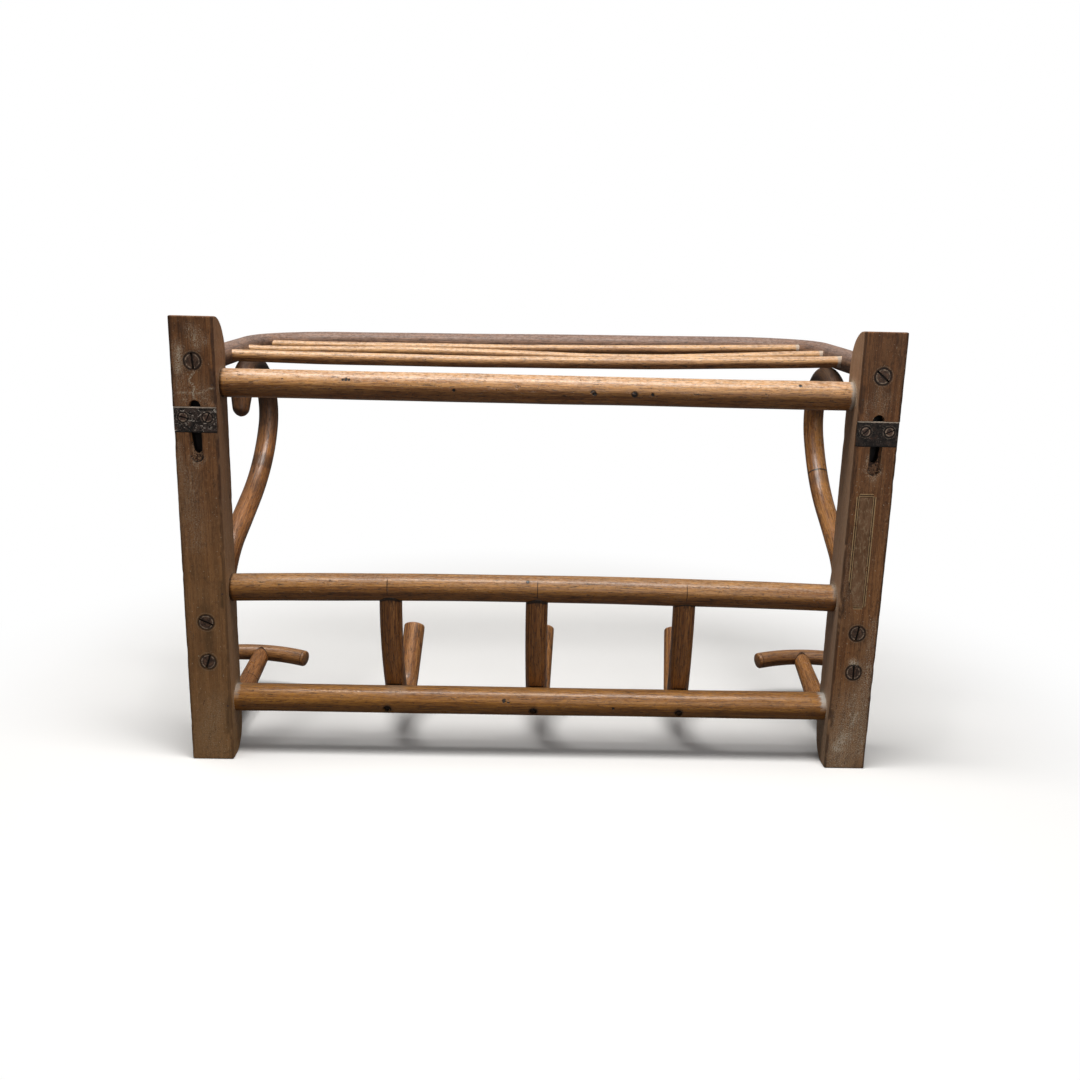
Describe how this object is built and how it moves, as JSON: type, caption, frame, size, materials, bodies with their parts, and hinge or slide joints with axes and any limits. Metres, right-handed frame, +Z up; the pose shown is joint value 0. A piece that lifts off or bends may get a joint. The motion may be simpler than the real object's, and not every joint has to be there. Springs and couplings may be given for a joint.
{
  "type": "wall coat rack",
  "caption": "Bentwood wall coat rack with flat posts, round rails, a bent-rod hat shelf on scroll brackets, T hooks and J hooks.",
  "frame": {"origin": "in the wall plane, midway between the lower edges of the two hanging plates, which rest on the wall hooks", "axes": "+X to the right seen from the front, +Y into the wall, +Z up; the hooks face -Y"},
  "size_m": [0.7642, 0.317, 0.451],
  "materials": {
    "post_wood": "worn brown varnish, matte",
    "rail_wood": "honey varnish, worn satin",
    "loop_wood": "dusty grey-brown varnish",
    "spindle_wood": "pale worn varnish",
    "bentwood": "brown varnish, satin",
    "iron": "blackened sheet iron with rust",
    "screw_iron": "dark oxidised iron",
    "paper": "aged paper"
  },
  "bodies": {
    "root": {"right_post": "post_wood", "left_post": "post_wood", "top_rail": "rail_wood", "middle_rail": "rail_wood", "lower_rail": "rail_wood", "shelf_loop": "loop_wood", "rear_spindle": "spindle_wood", "middle_spindle": "spindle_wood", "front_spindle": "spindle_wood", "right_bracket": "bentwood", "left_bracket": "bentwood", "right_crossbar": "bentwood", "left_crossbar": "bentwood", "right_hook": "bentwood", "centre_hook": "bentwood", "left_hook": "bentwood", "right_hanging_plate": "iron", "left_hanging_plate": "iron", "paper_label": "paper", "loop_screws": "screw_iron", "bracket_screws": "screw_iron", "plate_screws": "screw_iron", "hook_screws": "screw_iron", "crossbar_screws": "screw_iron", "curl_screws": "screw_iron", "rail_pins": "screw_iron"}
  },
  "joints": []
}
